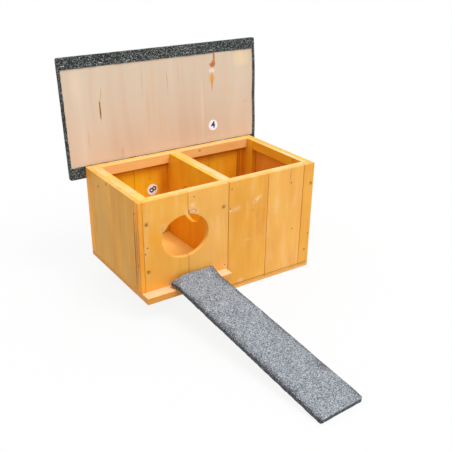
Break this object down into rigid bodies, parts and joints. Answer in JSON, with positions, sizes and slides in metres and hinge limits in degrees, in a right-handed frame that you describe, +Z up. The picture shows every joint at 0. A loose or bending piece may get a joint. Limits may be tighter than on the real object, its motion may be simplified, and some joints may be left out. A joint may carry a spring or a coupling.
{
  "type": "duck house",
  "caption": "Two-chamber wooden duck house with a round entrance, a landing ledge, a loose felt-covered ramp and a flat felt-covered lid hinged at the back.",
  "frame": {"origin": "centre of the house's footprint, on the ground plane and on the underside of the base board", "axes": "+X along the front from its left end to its right, +Y from the front to the back, +Z up"},
  "size_m": [0.673, 0.9793, 0.6645],
  "materials": {
    "stained_wood": "honey-coloured translucent wood stain on softwood boards",
    "plywood": "bare softwood plywood",
    "plain_wood": "bare sawn softwood",
    "roofing_felt_dark": "matte bitumen roofing felt with dark mineral grit",
    "roofing_felt_grey": "matte bitumen roofing felt with blue-grey mineral grit",
    "zinc_steel": "zinc-plated steel"
  },
  "bodies": {
    "house": {"front_board_a": "stained_wood", "front_board_b": "stained_wood", "front_board_c": "stained_wood", "front_board_d": "stained_wood", "front_board_e": "stained_wood", "back_board_a": "stained_wood", "back_board_b": "stained_wood", "back_board_c": "stained_wood", "back_board_d": "stained_wood", "left_board_a": "stained_wood", "left_board_b": "stained_wood", "left_board_c": "stained_wood", "left_board_d": "stained_wood", "right_board_a": "stained_wood", "right_board_b": "stained_wood", "right_board_c": "stained_wood", "front_left_post": "stained_wood", "back_left_post": "stained_wood", "front_right_post": "stained_wood", "back_right_post": "stained_wood", "front_rail": "stained_wood", "back_rail": "stained_wood", "left_rail": "stained_wood", "right_rail": "stained_wood", "divider_board_front": "stained_wood", "divider_board_back": "stained_wood", "divider_rail": "stained_wood", "divider_post_front": "stained_wood", "divider_post_back": "stained_wood", "base_board": "stained_wood", "step_board": "stained_wood", "left_floor": "stained_wood", "ledge": "stained_wood", "left_wall_leaf": "zinc_steel", "right_wall_leaf": "zinc_steel", "left_hinge_pin": "zinc_steel", "right_hinge_pin": "zinc_steel"},
    "lid": {"lid_panel": "plywood", "lid_felt": "roofing_felt_dark", "left_lid_leaf": "zinc_steel", "right_lid_leaf": "zinc_steel"},
    "ramp": {"ramp_board": "plain_wood", "ramp_felt": "roofing_felt_grey"}
  },
  "joints": [
    {"name": "lid_hinge", "type": "hinge", "parent": "house", "child": "lid", "pos_m": [0, 0.16985, 0.34855], "axis": [1, 0, 0], "range_deg": [0, 93.77]},
    {"name": "ramp_lift", "type": "slide", "parent": "house", "child": "ramp", "axis": [0, 0, 1], "range_m": [0, 0.08]}
  ]
}
